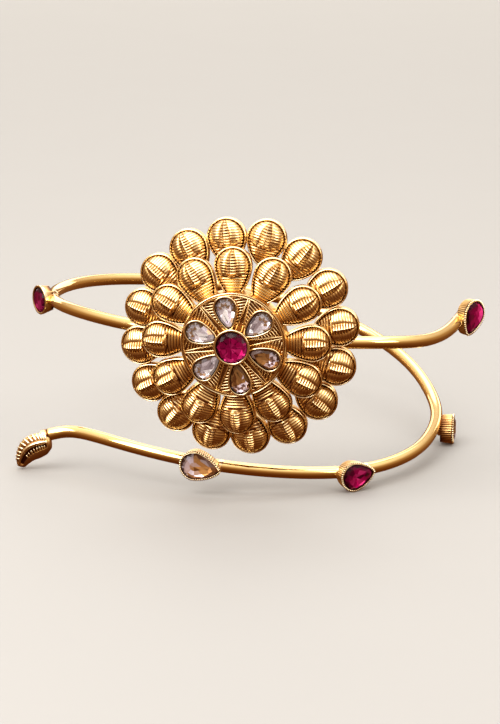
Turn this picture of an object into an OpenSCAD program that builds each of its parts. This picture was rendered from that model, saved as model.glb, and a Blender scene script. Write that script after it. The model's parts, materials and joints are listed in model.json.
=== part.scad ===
// Upper-arm armlet: a sprung wire coil with a petalled flower in front,
// jewelled collets along the wire and a curled leaf at its lower end.
// Millimetres, +Z up. It rests as it would by itself, with the arm's way up through the coil.

/* [Wire] */
// Diameter of the round wire
wire_d = 2.5; // [2:0.1:3]
// Radius of the coil round the arm, to the middle of the wire
coil_r = 40; // [38:0.5:44]

/* [Flower] */
// Petals in the outer ring
outer_petals = 16; // [14:1:18]
// Petals in the inner ring
inner_petals = 12; // [10:1:13]
// Distance from the flower's middle to the outer petals' ends
outer_reach = 23.6; // [22:0.2:25]
// Distance from the flower's middle to the inner petals' ends
inner_reach = 18.5; // [17.5:0.1:19.5]
// Radius of the round disc that holds the middle stones
disc_r = 10.3; // [9.8:0.1:11]
// How far the flower is turned to the left, in degrees
flower_turn = 10; // [0:1:20]

/* [Stones] */
// Outer diameter of the middle ruby's collet
centre_collet_d = 7.1; // [6.4:0.1:7.4]
// Share of a collet's outline that its opening takes
opening_share = 0.86; // [0.84:0.01:0.9]
// Share of a collet's outline that its stone takes
stone_share = 0.8; // [0.74:0.01:0.8]

/* [Leaf] */
// Width of the leaf against its natural size
leaf_scale = 1; // [0.9:0.05:1.1]

/* [Hidden] */
// Names of the separate pieces

UP = [0, 0, 1];
GOLD = "goldenrod";
RUBY = "crimson";
CLEAR = "lavender";
CHAMPAGNE = "peru";

// Place of the coil's axis, which centres the armlet's box on the origin
coil_axis = [-1, 5.06, 0];

// Route of the wire, from the upper end clockwise to the leaf.
// Columns: angle round the coil, distance outside the coil's radius, height
ANGLE = 0;
OUT = 1;
HEIGHT = 2;
ROUTE = [
    [-19, 6.4, 29.9], [-26, 6.6, 29.2], [-34, 7.4, 28.9], [-42, 8.4, 29.2], [-50, 8.8, 30.1],
    [-60, 6.6, 30.9], [-74, 2, 31.1], [-90, -0.2, 31.5], [-107, -1.2, 31.9], [-125, -1.3, 32.2],
    [-142, -1.1, 32.3], [-159, -0.7, 31.7], [-176, -0.2, 30.6], [-194, 0, 29.5], [-212, 0, 28.4],
    [-234, 0, 26.2], [-255, 0, 23.9], [-276, 0, 21], [-297, -0.2, 17.6], [-318, -0.5, 13.8],
    [-338, -0.7, 10.2], [-351, -0.4, 7.4], [-364, 0, 5.6], [-377, 0, 4.5], [-390, 1, 3.8],
    [-404, 2, 3.4], [-418, 1.8, 3.2], [-431, 0.4, 3.7], [-445, -0.4, 4.6], [-460, -0.6, 5.7],
    [-475, -0.3, 7], [-489, 0, 7.9], [-501, 1, 8.3], [-507.5, 3, 8.1], [-510, 7.2, 6.9]
];
last_row = len(ROUTE) - 1;
wire_steps = 3;
wire_sides = 10;

// Stones along the wire.
// Columns: place on the route, turn of the face from straight outward, distance outside the wire,
// roll of the point from the right, length, width and depth of the collet, whether it stands on the floor
AT = 0;
TURN = 1;
AWAY = 2;
ROLL = 3;
LENGTH = 4;
WIDTH = 5;
DEPTH = 6;
GROUNDED = 7;
LEFT_RUBY = [-175, 24, 0.95, 0, 6.1, 6.1, 2.3, false];
UPPER_END_RUBY = [-19, -18, 0.85, 243, 7.7, 6.3, 2.4, false];
FRONT_RUBY = [-419.5, 0, 0.35, 8, 7.6, 6.1, 2.9, true];
FRONT_CHAMPAGNE = [-462, 0, 0.35, -11, 8.5, 6.2, 2.9, false];
SIDE_STONE = [-366.8, 0, 0.9, 0, 6.2, 6.2, 2.8, true];
BAND_STONES = [LEFT_RUBY, UPPER_END_RUBY, FRONT_RUBY, FRONT_CHAMPAGNE, SIDE_STONE];

// Collets and stones
round_points = 12;
arc_points = 9;
point_blunt = 0.35;
collet_taper = 0.9;
stone_gap = 0.1;
stone_rise = 0.5;
stone_seat = 1;
// Rings of a cut stone. Columns: share of the outline, share of the height
CUT = [[0.62, 0], [1, 0.4], [1, 0.5], [0.6, 1]];
solder_r = 1.58;
solder_near = 0.4;
solder_tail = 1.3;
solder_end_r = 1.05;
solder_sides = 6;

// Petals: rings of the shell, underside first.
// Columns: share of the outline, height over the petal's foot
petal_lap = 0.1;
petal_blunt = 0.9;
petal_under_top = 3.2;
petal_top = 3.7;
PETAL_SHELL = [
    [0.6, 2.45], [0.88, 0], [1, 0], [1, 1.4], [0.92, 1.4], [0.88, 1.15], [0.72, 2.62], [0.42, 3.39]
];
outer_root = 12.6;
outer_start = 6.7;
inner_root = 7.6;
inner_start = 0.4;
inner_foot = 3.1;
petal_stagger = 0.1;

// Disc, its collets and the post behind it, by height over the flower's back
flower_out = 1.6;
flower_height = 32.4;
flower_side = -1;
disc_back = 6;
disc_face = 6.75;
disc_rim = 0.55;
disc_rim_top = 7.2;
disc_skirt = 3.5;
disc_sides = 48;
pear_l = 7;
pear_w = 5.2;
pear_outer_end = 9.8;
pear_start = 41;
pear_depth = 1.2;
pear_top = 7.92;
rib_start = 11;
rib_w = 0.38;
rib_open = 0.6;
rib_close = 0.15;
rib_rise = 0.3;
rib_inner = 3.2;
rib_sides = 8;
disc_stones = 6;
clear_stones = 4;
centre_depth = 2.45;
centre_top = 9.1;
post_r = 2.4;
post_sides = 24;
post_back = -0.2;
pad_r = 3.2;
pad_depth = 2;
overlap = 0.2;

// Leaf, in an upright plane at the wire's lower end.
// Columns: place along and height of the middle line, half width, half thickness
ALONG = 0;
HALF_W = 2;
HALF_T = 3;
LEAF = [
    [1.4, 5.9, 1.2, 0.9], [0.5, 5.8, 2.2, 1.3], [-0.4, 5.6, 2.6, 1.5], [-1.8, 5.2, 2.8, 1.6],
    [-3.3, 4.2, 2.7, 1.5], [-4.3, 2.7, 2, 1.3], [-4.8, 1.4, 1.4, 1], [-5, 0.5, 0.8, 0.6]
];
leaf_plane = -100;
leaf_offset = [0.5, -0.5];
leaf_points = 12;
leaf_steps = 2;
leaf_rib_side = 0.32;
rib_front = 0.85;
leaf_rib_r = 0.45;
leaf_rib_from = 1.1;
leaf_tooth_r = 0.34;
leaf_teeth = 7;
ridge_sides = 6;
tooth_sides = 5;

function unit(v) = v / norm(v);

// Weights of four neighbouring rows in a cubic B-spline
function weights(t) = [(1 - t) ^ 3, 3 * t ^ 3 - 6 * t ^ 2 + 4, -3 * t ^ 3 + 3 * t ^ 2 + 3 * t + 1, t ^ 3] / 6;

// Row i of a table; a row past either end mirrors its neighbour, so that the curve reaches the end rows
function row(table, i) =
    let (last = len(table) - 1)
    i < 0 ? 2 * table[0] - table[1]
    : i > last ? 2 * table[last] - table[last - 1]
    : table[i];

// Smooth value of a table at the row number s, which may lie between rows
function smooth(table, s) =
    let (i = min(floor(s), len(table) - 2), t = s - i)
    weights(t) * [for (k = [-1 : 2]) row(table, i + k)];

// Middle of the wire at the row number s of the route
function wire_point(s) =
    let (q = smooth(ROUTE, s), r = coil_r + q[OUT])
    coil_axis + [r * cos(q[ANGLE]), r * sin(q[ANGLE]), q[HEIGHT]];

// Direction of the wire there
function wire_heading(s) =
    unit(wire_point(min(s + 0.05, last_row)) - wire_point(max(s - 0.05, 0)));

// Row number of the route at an angle round the coil
function row_at(angle, low = 0, high = last_row) =
    let (mid = (low + high) / 2)
    high - low < 0.001 ? mid
    : smooth(ROUTE, mid)[ANGLE] > angle ? row_at(angle, mid, high)
    : row_at(angle, low, mid);

// Azimuth of the direction that points out of the coil
function azimuth_out(s) = let (t = wire_heading(s)) atan2(t.x, -t.y);

// Ring of points round p, across the direction t, with half sizes a (level) and b
function oval(p, t, a, b, sides) =
    let (u = unit(cross(UP, t)), v = cross(t, u))
    [for (i = [0 : sides - 1]) let (q = 360 * i / sides) p + a * cos(q) * u + b * sin(q) * v];

// Pear outline, its round end about the middle and its point on the left, slightly blunt
function pear(l, w, blunt) =
    let (r = w / 2, far = l - r, half = asin(r / far), sweep = 90 + half)
    concat(
        [for (i = [0 : arc_points]) let (q = -sweep + 2 * sweep * i / arc_points) r * [cos(q), sin(q)]],
        [[blunt - far, blunt * tan(half)], [blunt - far, -blunt * tan(half)]]
    );

// Outline of a stone or collet: a pear where it is longer than wide, otherwise round
function outline(l, w) =
    l > w ? pear(l, w, point_blunt)
    : [for (i = [0 : round_points - 1]) w / 2 * [cos(360 * i / round_points), sin(360 * i / round_points)]];

// Outline scaled by a share and lifted to a height
function lifted(points, share, z) = [for (q = points) [q.x * share, q.y * share, z]];

// Closed solid through rings of points, with a point at each end
module skin(first, rings, last) {
    n = len(rings[0]);
    count = len(rings);
    function at(i, j) = 1 + i * n + j % n;
    points = concat([first], [for (ring = rings) each ring], [last]);
    faces = concat(
        [for (j = [0 : n - 1]) [0, at(0, j), at(0, j + 1)]],
        [for (i = [0 : count - 2], j = [0 : n - 1]) each [
            [at(i, j), at(i + 1, j), at(i + 1, j + 1)],
            [at(i, j), at(i + 1, j + 1), at(i, j + 1)]
        ]],
        [for (j = [0 : n - 1]) [1 + count * n, at(count - 1, j + 1), at(count - 1, j)]]
    );
    polyhedron(points, faces, convexity = 8);
}

// Cup that holds a stone, its back at z = 0 and its rim at z = depth
module collet(l, w, depth) {
    shape = outline(l, w);
    floor_z = depth - stone_seat;
    skin([0, 0, 0], [
        lifted(shape, collet_taper, 0), lifted(shape, 1, depth),
        lifted(shape, opening_share, depth), lifted(shape, opening_share, floor_z)
    ], [0, 0, floor_z]);
}

// Cut stone with a flat table, seated in such a cup
module stone(l, w, depth) {
    shape = outline(l, w);
    seat = depth - stone_seat + stone_gap;
    height = stone_seat - stone_gap + stone_rise;
    rings = [for (q = CUT) lifted(shape, q[0] * stone_share, seat + q[1] * height)];
    skin([0, 0, seat], rings, [0, 0, seat + height]);
}

// Row of the route that lies d millimetres further along the wire than row s
function further(s, d) =
    let (speed = norm(wire_point(s + 0.1) - wire_point(s)) / 0.1)
    max(0, min(last_row, s + d / speed));

// Puts its children at a stone's place on the wire, with their z axis out of the coil
module on_wire(s) {
    at = row_at(s[AT]);
    facing = azimuth_out(at) + s[TURN];
    p = wire_point(at) + s[AWAY] * [cos(facing), sin(facing), 0];
    longer = (s[LENGTH] - s[WIDTH]) / 2;
    standing = s[WIDTH] / 2 + longer * sin(s[ROLL]);
    translate([p.x, p.y, s[GROUNDED] ? standing : p.z])
        rotate([90, 0, facing + 90])
            rotate([0, 0, s[ROLL] + 180])
                translate([longer, 0, 0])
                    children();
}

// Solder that runs from under a collet onto the wire, along it (side 1) or back (side -1)
module solder(s, side) {
    at = row_at(s[AT]);
    hull() {
        translate(wire_point(further(at, side * solder_near * s[LENGTH])))
            sphere(r = solder_r, $fn = solder_sides);
        translate(wire_point(further(at, side * (s[LENGTH] / 2 + solder_tail))))
            sphere(r = solder_end_r, $fn = solder_sides);
    }
}

module wire() {
    rings = [for (i = [0 : last_row * wire_steps]) let (s = i / wire_steps)
        oval(wire_point(s), wire_heading(s), wire_d / 2, wire_d / 2, wire_sides)];
    skin(wire_point(0), rings, wire_point(last_row));
}

// Puts its children in the flower's frame: z out of its face, y up, origin in the middle of its back
module in_flower() {
    translate(coil_axis + [flower_side, -(coil_r + flower_out), flower_height])
        rotate([90, 0, -flower_turn])
            children();
}

// Hollow petal with an upright rim and a puffed dome, pointing to the flower's middle
module petal(reach, count, root) {
    w = (2 * reach * sin(180 / count) + petal_lap) / (1 + sin(180 / count));
    shape = pear(reach - root, w, petal_blunt);
    translate([reach - w / 2, 0, 0])
        skin([0, 0, petal_under_top], [for (q = PETAL_SHELL) lifted(shape, q[0], q[1])], [0, 0, petal_top]);
}

module petal_ring(reach, count, root, start) {
    for (i = [0 : count - 1])
        rotate([0, 0, start + 360 * i / count])
            translate([0, 0, i % 2 * petal_stagger]) petal(reach, count, root);
}

// Round plate with a raised rim and a skirt behind it
module disc() {
    inner = disc_r - disc_rim;
    rotate_extrude($fn = disc_sides)
        polygon([
            [0, disc_back], [inner, disc_back], [inner, disc_skirt], [disc_r, disc_skirt],
            [disc_r, disc_rim_top], [inner, disc_rim_top], [inner, disc_face], [0, disc_face]
        ]);
}

// Two raised lines that run together from the middle to the disc's rim
module rib() {
    for (side = [-1, 1])
        hull() {
            translate([rib_inner, side * rib_open, disc_face - overlap])
                cylinder(d = rib_w, h = rib_rise + overlap, $fn = rib_sides);
            translate([disc_r - disc_rim, side * rib_close, disc_face - overlap])
                cylinder(d = rib_w, h = rib_rise + overlap, $fn = rib_sides);
        }
}

// Puts its children at the round end of pear number i on the disc, its point to the middle
module at_pear(i) {
    rotate([0, 0, pear_start + 360 * (i - 1) / disc_stones])
        translate([pear_outer_end - pear_w / 2, 0, pear_top - pear_depth])
            children();
}

module flower() color(GOLD) in_flower() {
    petal_ring(outer_reach, outer_petals, outer_root, outer_start);
    translate([0, 0, inner_foot])
        petal_ring(inner_reach, inner_petals, inner_root, inner_start);
    disc();
    for (i = [1 : disc_stones]) {
        at_pear(i) collet(pear_l, pear_w, pear_depth);
        rotate([0, 0, rib_start + 360 * i / disc_stones]) rib();
    }
    translate([0, 0, centre_top - centre_depth])
        collet(centre_collet_d, centre_collet_d, centre_depth);
    translate([0, 0, post_back])
        cylinder(r = post_r, h = disc_back + overlap - post_back, $fn = post_sides);
}

// Curled leaf with a raised midrib and teeth, its tip on the floor
function leaf_point(s, side = 0, front = 0) =
    let (
        q = smooth(LEAF, s),
        next = smooth(LEAF, min(s + 0.05, len(LEAF) - 1)),
        before = smooth(LEAF, max(s - 0.05, 0)),
        run = unit([next[ALONG] - before[ALONG], next.y - before.y]),
        along = q[ALONG] - run.y * side * q[HALF_W] * leaf_scale,
        height = q.y + run.x * side * q[HALF_W] * leaf_scale,
        root = wire_point(last_row) + [leaf_offset.x, leaf_offset.y, 0],
        across = [-sin(leaf_plane), cos(leaf_plane), 0],
        face = [cos(leaf_plane), sin(leaf_plane), 0]
    )
    [root.x, root.y, height] + along * across + front * q[HALF_T] * face;

module leaf() {
    last = len(LEAF) - 1;
    rings = [for (i = [0 : last * leaf_steps]) let (s = i / leaf_steps)
        [for (j = [0 : leaf_points - 1]) let (q = 360 * j / leaf_points) leaf_point(s, cos(q), sin(q))]];
    skin(leaf_point(0), rings, leaf_point(last) + [0, 0, -leaf_point(last).z]);
}

// Raised midrib along the leaf's face
module midrib() {
    last = len(LEAF) - 1.5;
    count = round((last - leaf_rib_from) * leaf_steps);
    function middle(s) = leaf_point(s, leaf_rib_side, rib_front);
    rings = [for (i = [0 : count]) let (s = leaf_rib_from + i / leaf_steps)
        oval(middle(s), unit(middle(s + 0.05) - middle(s - 0.05)), leaf_rib_r, leaf_rib_r, ridge_sides)];
    skin(middle(leaf_rib_from), rings, middle(leaf_rib_from + count / leaf_steps));
}

// Raised teeth that slant from the midrib to the leaf's inner edge
module teeth() {
    last = len(LEAF) - 1;
    for (i = [0 : leaf_teeth - 1]) {
        s = leaf_rib_from + i * (last - leaf_rib_from - 0.4) / leaf_teeth;
        hull() {
            translate(leaf_point(s, -0.25, 0.9)) sphere(r = leaf_tooth_r, $fn = tooth_sides);
            translate(leaf_point(s + 0.2, -0.85, 0.4)) sphere(r = leaf_tooth_r, $fn = tooth_sides);
        }
    }
}

// Round solder pad on the wire, behind the flower's post
module pad() {
    in_flower() translate([0, 0, post_back - pad_depth])
        cylinder(r = pad_r, h = pad_depth, $fn = post_sides);
}

module band() color(GOLD) {
    wire();
    leaf();
    midrib();
    teeth();
    pad();
    for (s = BAND_STONES) {
        on_wire(s) collet(s[LENGTH], s[WIDTH], s[DEPTH]);
        solder(s, 1);
        if (s[AT] < ROUTE[0][ANGLE]) solder(s, -1);
    }
}

module centre_ruby() color(RUBY) in_flower()
    translate([0, 0, centre_top - centre_depth])
        stone(centre_collet_d, centre_collet_d, centre_depth);

module disc_stone(i) color(i > clear_stones ? CHAMPAGNE : CLEAR) in_flower()
    at_pear(i) stone(pear_l, pear_w, pear_depth);

module band_stone(s, paint) color(paint) on_wire(s) stone(s[LENGTH], s[WIDTH], s[DEPTH]);

band();
flower();
centre_ruby();
disc_stone(1);  // disc_stone_1
disc_stone(2);  // disc_stone_2
disc_stone(3);  // disc_stone_3
disc_stone(4);  // disc_stone_4
disc_stone(5);  // disc_stone_5
disc_stone(6);  // disc_stone_6
band_stone(LEFT_RUBY, RUBY);  // left_ruby
band_stone(UPPER_END_RUBY, RUBY);  // upper_end_ruby
band_stone(FRONT_RUBY, RUBY);  // front_ruby
band_stone(FRONT_CHAMPAGNE, CHAMPAGNE);  // front_champagne
band_stone(SIDE_STONE, CHAMPAGNE);  // side_stone
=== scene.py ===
# %% [markdown]
# # A sprung wire armlet
#
# This armlet is a single round wire that winds once and a third round the upper arm. In front it
# carries a large flower of pressed petals with a jewelled disc, along the wire sit collets with cut
# stones, and its lower end runs out into a curled leaf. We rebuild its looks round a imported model
# that already fixes every size and place. Nothing here moves that model: each new piece is made
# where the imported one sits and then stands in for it.

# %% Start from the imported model
import json
import math
from contextlib import contextmanager

import bmesh
import bpy
from mathutils import Matrix, Vector, noise

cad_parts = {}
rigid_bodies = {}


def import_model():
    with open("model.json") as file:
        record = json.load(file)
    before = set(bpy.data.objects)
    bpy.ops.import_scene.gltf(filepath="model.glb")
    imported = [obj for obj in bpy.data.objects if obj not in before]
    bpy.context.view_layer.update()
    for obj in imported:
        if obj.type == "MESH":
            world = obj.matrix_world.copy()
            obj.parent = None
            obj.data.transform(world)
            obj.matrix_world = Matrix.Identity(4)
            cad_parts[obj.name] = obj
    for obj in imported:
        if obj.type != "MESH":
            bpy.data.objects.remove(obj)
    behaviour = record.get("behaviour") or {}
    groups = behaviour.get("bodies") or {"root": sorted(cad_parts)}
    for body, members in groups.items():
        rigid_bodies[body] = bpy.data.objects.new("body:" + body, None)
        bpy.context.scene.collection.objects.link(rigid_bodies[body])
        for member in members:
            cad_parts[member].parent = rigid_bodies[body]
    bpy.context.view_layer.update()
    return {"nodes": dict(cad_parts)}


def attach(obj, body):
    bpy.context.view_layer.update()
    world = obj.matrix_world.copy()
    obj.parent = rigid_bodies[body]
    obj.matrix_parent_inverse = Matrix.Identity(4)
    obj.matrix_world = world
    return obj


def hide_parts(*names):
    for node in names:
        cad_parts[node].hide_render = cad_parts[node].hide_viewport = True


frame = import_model()
print("packed nodes:", ", ".join(sorted(frame["nodes"])))

# %% [markdown]
# ## Camera, floor and light
#
# The camera comes first, because all that follows is seen through it. The photograph was taken
# from a little above, with a long lens that flattens the coil. A long lens far away gives the same
# view, so we place the camera on a line that leans fifteen degrees over the floor.

# %% Camera
MM = 0.001
COIL_AXIS = Vector((-1, 5.06, 0))
CAMERA_LEAN = math.radians(15)
CAMERA_DISTANCE = 0.62
LENS, SENSOR = 148, 36
LOOK_AT = (COIL_AXIS + Vector((1, 0, 16.1))) * MM

bpy.ops.object.select_all(action="DESELECT")
back = Vector((0, -math.cos(CAMERA_LEAN), math.sin(CAMERA_LEAN)))
bpy.ops.object.camera_add(location=LOOK_AT + back * CAMERA_DISTANCE)
camera = bpy.context.object
camera.name = "camera"
camera.rotation_euler = (-back).to_track_quat("-Z", "Y").to_euler()
camera.data.lens = LENS
camera.data.sensor_width = SENSOR
bpy.context.scene.camera = camera
print("camera", [round(v, 3) for v in camera.location])

# %% [markdown]
# Polished metal shows what stands round it more than its own colour. A bright panel overhead and a
# large window on the left give the upper sides their long light streaks, and a small warm one on
# the right fills in. A low wide one behind draws the bright line along the tops of the wires that
# run away from us, and a high one lights the far floor. A pale floor would light the lower sides as
# well and leave the relief flat, so the metal doesn't see it: where it would mirror the floor, it
# mirrors the world instead, which is a dim warm brown towards the ground.

# %% Floor
FLOOR_SIZE = 8
bpy.ops.mesh.primitive_plane_add(size=FLOOR_SIZE, location=(0, 0, 0))
floor = bpy.context.object
floor.name = "floor"
floor.visible_glossy = False
print("floor:", FLOOR_SIZE, "m wide")

# %% Lights
# Columns: name, place, width and height, power, colour
LIGHTS = [
    ("window", (-0.42, -0.38, 0.5), (0.6, 0.5), 5.5, (1, 0.97, 0.93)),
    ("overhead", (0.0, -0.1, 0.75), (0.9, 0.5), 3.6, (1, 0.97, 0.94)),
    ("fill", (0.5, -0.45, 0.34), (0.3, 0.3), 1.1, (1, 0.9, 0.78)),
    ("behind", (0.0, 1.0, 0.24), (1.6, 0.3), 3.2, (1, 0.95, 0.86)),
    ("far_floor", (0.0, 1.1, 1.3), (1.4, 0.8), 7, (1, 0.98, 0.95)),
]
for name, place, size, power, colour in LIGHTS:
    bpy.ops.object.light_add(type="AREA", location=place)
    light = bpy.context.object
    light.name = name
    light.data.shape = "RECTANGLE"
    light.data.size, light.data.size_y = size
    light.data.energy = power
    light.data.color = colour
    light.rotation_euler = (LOOK_AT - Vector(place)).to_track_quat("-Z", "Y").to_euler()
    light.visible_camera = False
print("lights:", len(LIGHTS))

# %% [markdown]
# ## Working in millimetres
#
# A jewel is drawn in millimetres, and so are the pieces below. Most are modelled round the origin,
# and each is put in its place in one step at the end, which also turns millimetres into Blender's
# metres and leaves the object itself unturned and unscaled. The helpers here are the few moves that
# a modeller makes by hand all the time: choose one object, add a ball, go into edit mode with
# nothing or everything selected, and pick faces or points by where they are.


# %% Helpers for numbers and directions
def clamped(value):
    """A number, kept between 0 and 1."""
    return max(0.0, min(1.0, value))


def ray(turn):
    """A level direction."""
    return Vector((math.cos(turn), math.sin(turn), 0))


def rotation(degrees, axis="Z"):
    """A turn about one axis."""
    return Matrix.Rotation(math.radians(degrees), 4, axis)


def laid_along(run):
    """The turn that lays the Z axis along a direction."""
    return run.to_track_quat("Z", "Y").to_matrix().to_4x4()


# %% Helpers for objects
def only(piece):
    """Makes one object the selected and active one."""
    bpy.ops.object.select_all(action="DESELECT")
    piece.select_set(True)
    bpy.context.view_layer.objects.active = piece


def named(name):
    """Names the object that was just added."""
    piece = bpy.context.object
    piece.name = piece.data.name = name
    return piece


def ball(name, segments, rings, radius=1):
    """A ball round the origin."""
    bpy.ops.mesh.primitive_uv_sphere_add(
        segments=segments, ring_count=rings, radius=radius, location=(0, 0, 0)
    )
    return named(name)


def joined(name, parts):
    """Joins several objects into the first one."""
    bpy.ops.object.select_all(action="DESELECT")
    for part in parts:
        part.select_set(True)
    bpy.context.view_layer.objects.active = parts[0]
    bpy.ops.object.join()
    return named(name)


def copied(piece, name):
    """A copy with its own mesh."""
    only(piece)
    bpy.ops.object.duplicate(linked=False)
    return named(name)


def smooth(piece, angle):
    """Shades a piece smooth wherever two faces meet at less than an angle in degrees."""
    only(piece)
    bpy.ops.object.shade_smooth_by_angle(angle=math.radians(angle))


def modified(piece, kind, **settings):
    """Adds a modifier with its settings and applies it."""
    only(piece)
    bpy.ops.object.modifier_add(type=kind)
    modifier = piece.modifiers[-1]
    for key, value in settings.items():
        setattr(modifier, key, value)
    bpy.ops.object.modifier_apply(modifier=modifier.name)


def triangles(piece):
    """How many triangles a piece's faces make."""
    return sum(len(face.vertices) - 2 for face in piece.data.polygons)


# %% Helpers for edit mode
DOUBLES = 0.002


@contextmanager
def editing(piece, kind="FACE", first="DESELECT"):
    """Edit mode on one piece, which starts with nothing selected or, by "SELECT", everything."""
    only(piece)
    bpy.ops.object.mode_set(mode="EDIT")
    bpy.ops.mesh.select_mode(type=kind)
    bpy.ops.mesh.select_all(action=first)
    yield
    bpy.ops.object.mode_set(mode="OBJECT")


def pick(test, kind="faces"):
    """In edit mode, selects the faces or the verts whose middle passes a test."""
    mesh = bmesh.from_edit_mesh(bpy.context.object.data)
    for part in getattr(mesh, kind):
        middle = part.co if kind == "verts" else part.calc_center_median()
        part.select_set(bool(test(middle)))
    bmesh.update_edit_mesh(bpy.context.object.data)


def tidy_normals(piece):
    """Merges doubles and turns all faces outwards."""
    with editing(piece, first="SELECT"):
        bpy.ops.mesh.remove_doubles(threshold=DOUBLES)
        bpy.ops.mesh.normals_make_consistent(inside=False)


# %% [markdown]
# A finished piece needs its place, its material, the body that it rides on, and the imported nodes
# that it stands for hidden. One function does all of them, so that no piece is left half done.

# %% Finishing a piece
made = {}


def finished(piece, place, material, slot, *nodes):
    """Puts a piece in its place in metres, gives it its material, attaches it to the root body and
    hides the imported nodes that it stands for.
    """
    only(piece)
    piece.matrix_world = Matrix.Scale(MM, 4) @ place
    bpy.ops.object.transform_apply(location=True, rotation=True, scale=True)
    piece.data.materials.clear()
    piece.data.materials.append(material)
    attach(piece, "root")
    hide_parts(*nodes)
    made[piece.name] = triangles(piece)


# %% [markdown]
# Some of the gold is painted pale, partly as wear and partly as a painted highlight, and some is
# brown, partly from age and partly as painted shade. The difference follows the relief: the brown
# sits where a polishing cloth can't reach and where shade falls. Each piece therefore carries a
# number on its points, 0 where it is exposed and 1 in the depths, which the gold reads as its age
# and painted shade. The rule that gives the number is written where the relief is made.


# %% Marking the recesses
def write_recess(piece, values):
    """Writes the number for age and painted shade on every point, from a list."""
    layer = piece.data.attributes.new("recess", "FLOAT", "POINT")
    layer.data.foreach_set("value", values)


def mark_recess(piece, rule):
    """Writes the number for age and painted shade on every point, by a rule on its place."""
    write_recess(piece, [clamped(rule(point.co)) for point in piece.data.vertices])


# %% [markdown]
# ## Outlines: round and pear
#
# Petals, collets and stones all share one kind of outline: round at one end and drawn out to a
# point at the other. It is easiest to say how far the outline lies from the middle of the round end
# in any direction. Over the front half that is one radius. The back half is a superellipse, which
# is an ellipse whose power is less than two: a power near two gives the full flanks of a petal, a
# smaller one the straighter flanks of a cut pear. If the length equals the width, it is a circle.

# %% Pear outline
OUTLINE_STEP = 0.08


def outline_reach(turn, shape):
    """Distance from the middle of the round end to the outline, in the direction of turn."""
    length, width, power = shape
    if abs(turn) <= math.pi / 2 or length == width:
        return width / 2
    back, side = -math.cos(turn) / (length - width / 2), abs(math.sin(turn)) / (width / 2)
    return (back**power + side**power) ** (-1 / power)


def pear_reach(turn, shape, inset=0.0):
    """The same for an outline that lies inside by an even inset."""
    reach = outline_reach(turn, shape)
    slope = (reach - outline_reach(abs(turn) - OUTLINE_STEP, shape)) / OUTLINE_STEP
    return reach - inset * math.hypot(1, slope / reach)


def last_place(test, low, high, halvings=24):
    """The last place between two at which a test still holds."""
    for _ in range(halvings):
        middle = (low + high) / 2
        if test(middle):
            low = middle
        else:
            high = middle
    return low


def half_width(x, shape, inset):
    """Half the width of the inset outline at a place along its axis."""
    if x >= pear_reach(0, shape, inset) or x <= -pear_reach(math.pi, shape, inset):
        return 0.0
    turn = last_place(lambda t: pear_reach(t, shape, inset) * math.cos(t) > x, 0.0, math.pi)
    return pear_reach(turn, shape, inset) * math.sin(turn)


def put_on_outline(piece, shape, inset, height):
    """Moves the selected ring of points to an inset of the outline, at a height."""
    mesh = bmesh.from_edit_mesh(piece.data)
    for point in mesh.verts:
        if point.select:
            turn = math.atan2(point.co.y, point.co.x)
            reach = pear_reach(turn, shape, inset)
            point.co = (reach * math.cos(turn), reach * math.sin(turn), height)
    bmesh.update_edit_mesh(piece.data)


# %% [markdown]
# A collet, a petal's wall and the disc are all *turned* shapes: one profile runs round an outline.
# By hand, this starts with a circle. It is extruded again and again, and each new ring is put on
# the outline at its own inset and height. So a profile is a short table with two columns.


# %% Turned shapes
def turned(name, shape, profile, count, hollow=False):
    """Runs a profile of (height, inset) round an outline of (length, width, power). A hollow shape
    has its last ring bridged to its first, and any other is closed by a face at both ends."""
    bpy.ops.mesh.primitive_circle_add(vertices=count, radius=shape[1] / 2, location=(0, 0, 0))
    piece = named(name)
    with editing(piece, "VERT", "SELECT"):
        put_on_outline(piece, shape, profile[0][1], profile[0][0])
        if not hollow:
            bpy.ops.mesh.edge_face_add()
            bpy.ops.mesh.select_all(action="SELECT")
        for height, inset in profile[1:]:
            bpy.ops.mesh.select_mode(type="EDGE")
            bpy.ops.mesh.extrude_edges_move()
            put_on_outline(piece, shape, inset, height)
        if hollow:
            pick_open_edges(piece)
            bpy.ops.mesh.bridge_edge_loops()
        else:
            bpy.ops.mesh.edge_face_add()
    tidy_normals(piece)
    return piece


def pick_open_edges(piece):
    """In edit mode, selects the edges that have a face on one side only."""
    bpy.ops.mesh.select_all(action="DESELECT")
    mesh = bmesh.from_edit_mesh(piece.data)
    for edge in mesh.edges:
        edge.select_set(len(edge.link_faces) == 1)
    bmesh.update_edit_mesh(piece.data)


# %% [markdown]
# ## Shader maths as plain expressions
#
# A material is a small calculation. Written as nodes by hand it takes many lines, so this class
# wraps a socket and lets Python's own operators add the Math nodes. One method adds any other kind
# of node.


# %% Sockets that calculate
class Socket:
    """A socket of a node tree that can be used in an expression."""

    def __init__(self, tree, socket):
        self.tree, self.socket = tree, socket

    def maths(self, operation, *values):
        """Adds a Math node and gives its result."""
        node = self.tree.nodes.new("ShaderNodeMath")
        node.operation = operation
        for place, value in zip(node.inputs, values):
            if isinstance(value, Socket):
                self.tree.links.new(value.socket, place)
            else:
                place.default_value = value
        return Socket(self.tree, node.outputs[0])

    def __add__(self, other):
        return self.maths("ADD", self, other)

    def __radd__(self, other):
        return self.maths("ADD", other, self)

    def __sub__(self, other):
        return self.maths("SUBTRACT", self, other)

    def __rsub__(self, other):
        return self.maths("SUBTRACT", other, self)

    def __mul__(self, other):
        return self.maths("MULTIPLY", self, other)

    def __rmul__(self, other):
        return self.maths("MULTIPLY", other, self)

    def __pow__(self, other):
        return self.maths("POWER", self, other)

    def clamped(self):
        """The value, kept between 0 and 1."""
        return self.maths("MINIMUM", self.maths("MAXIMUM", self, 0.0), 1.0)


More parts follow.
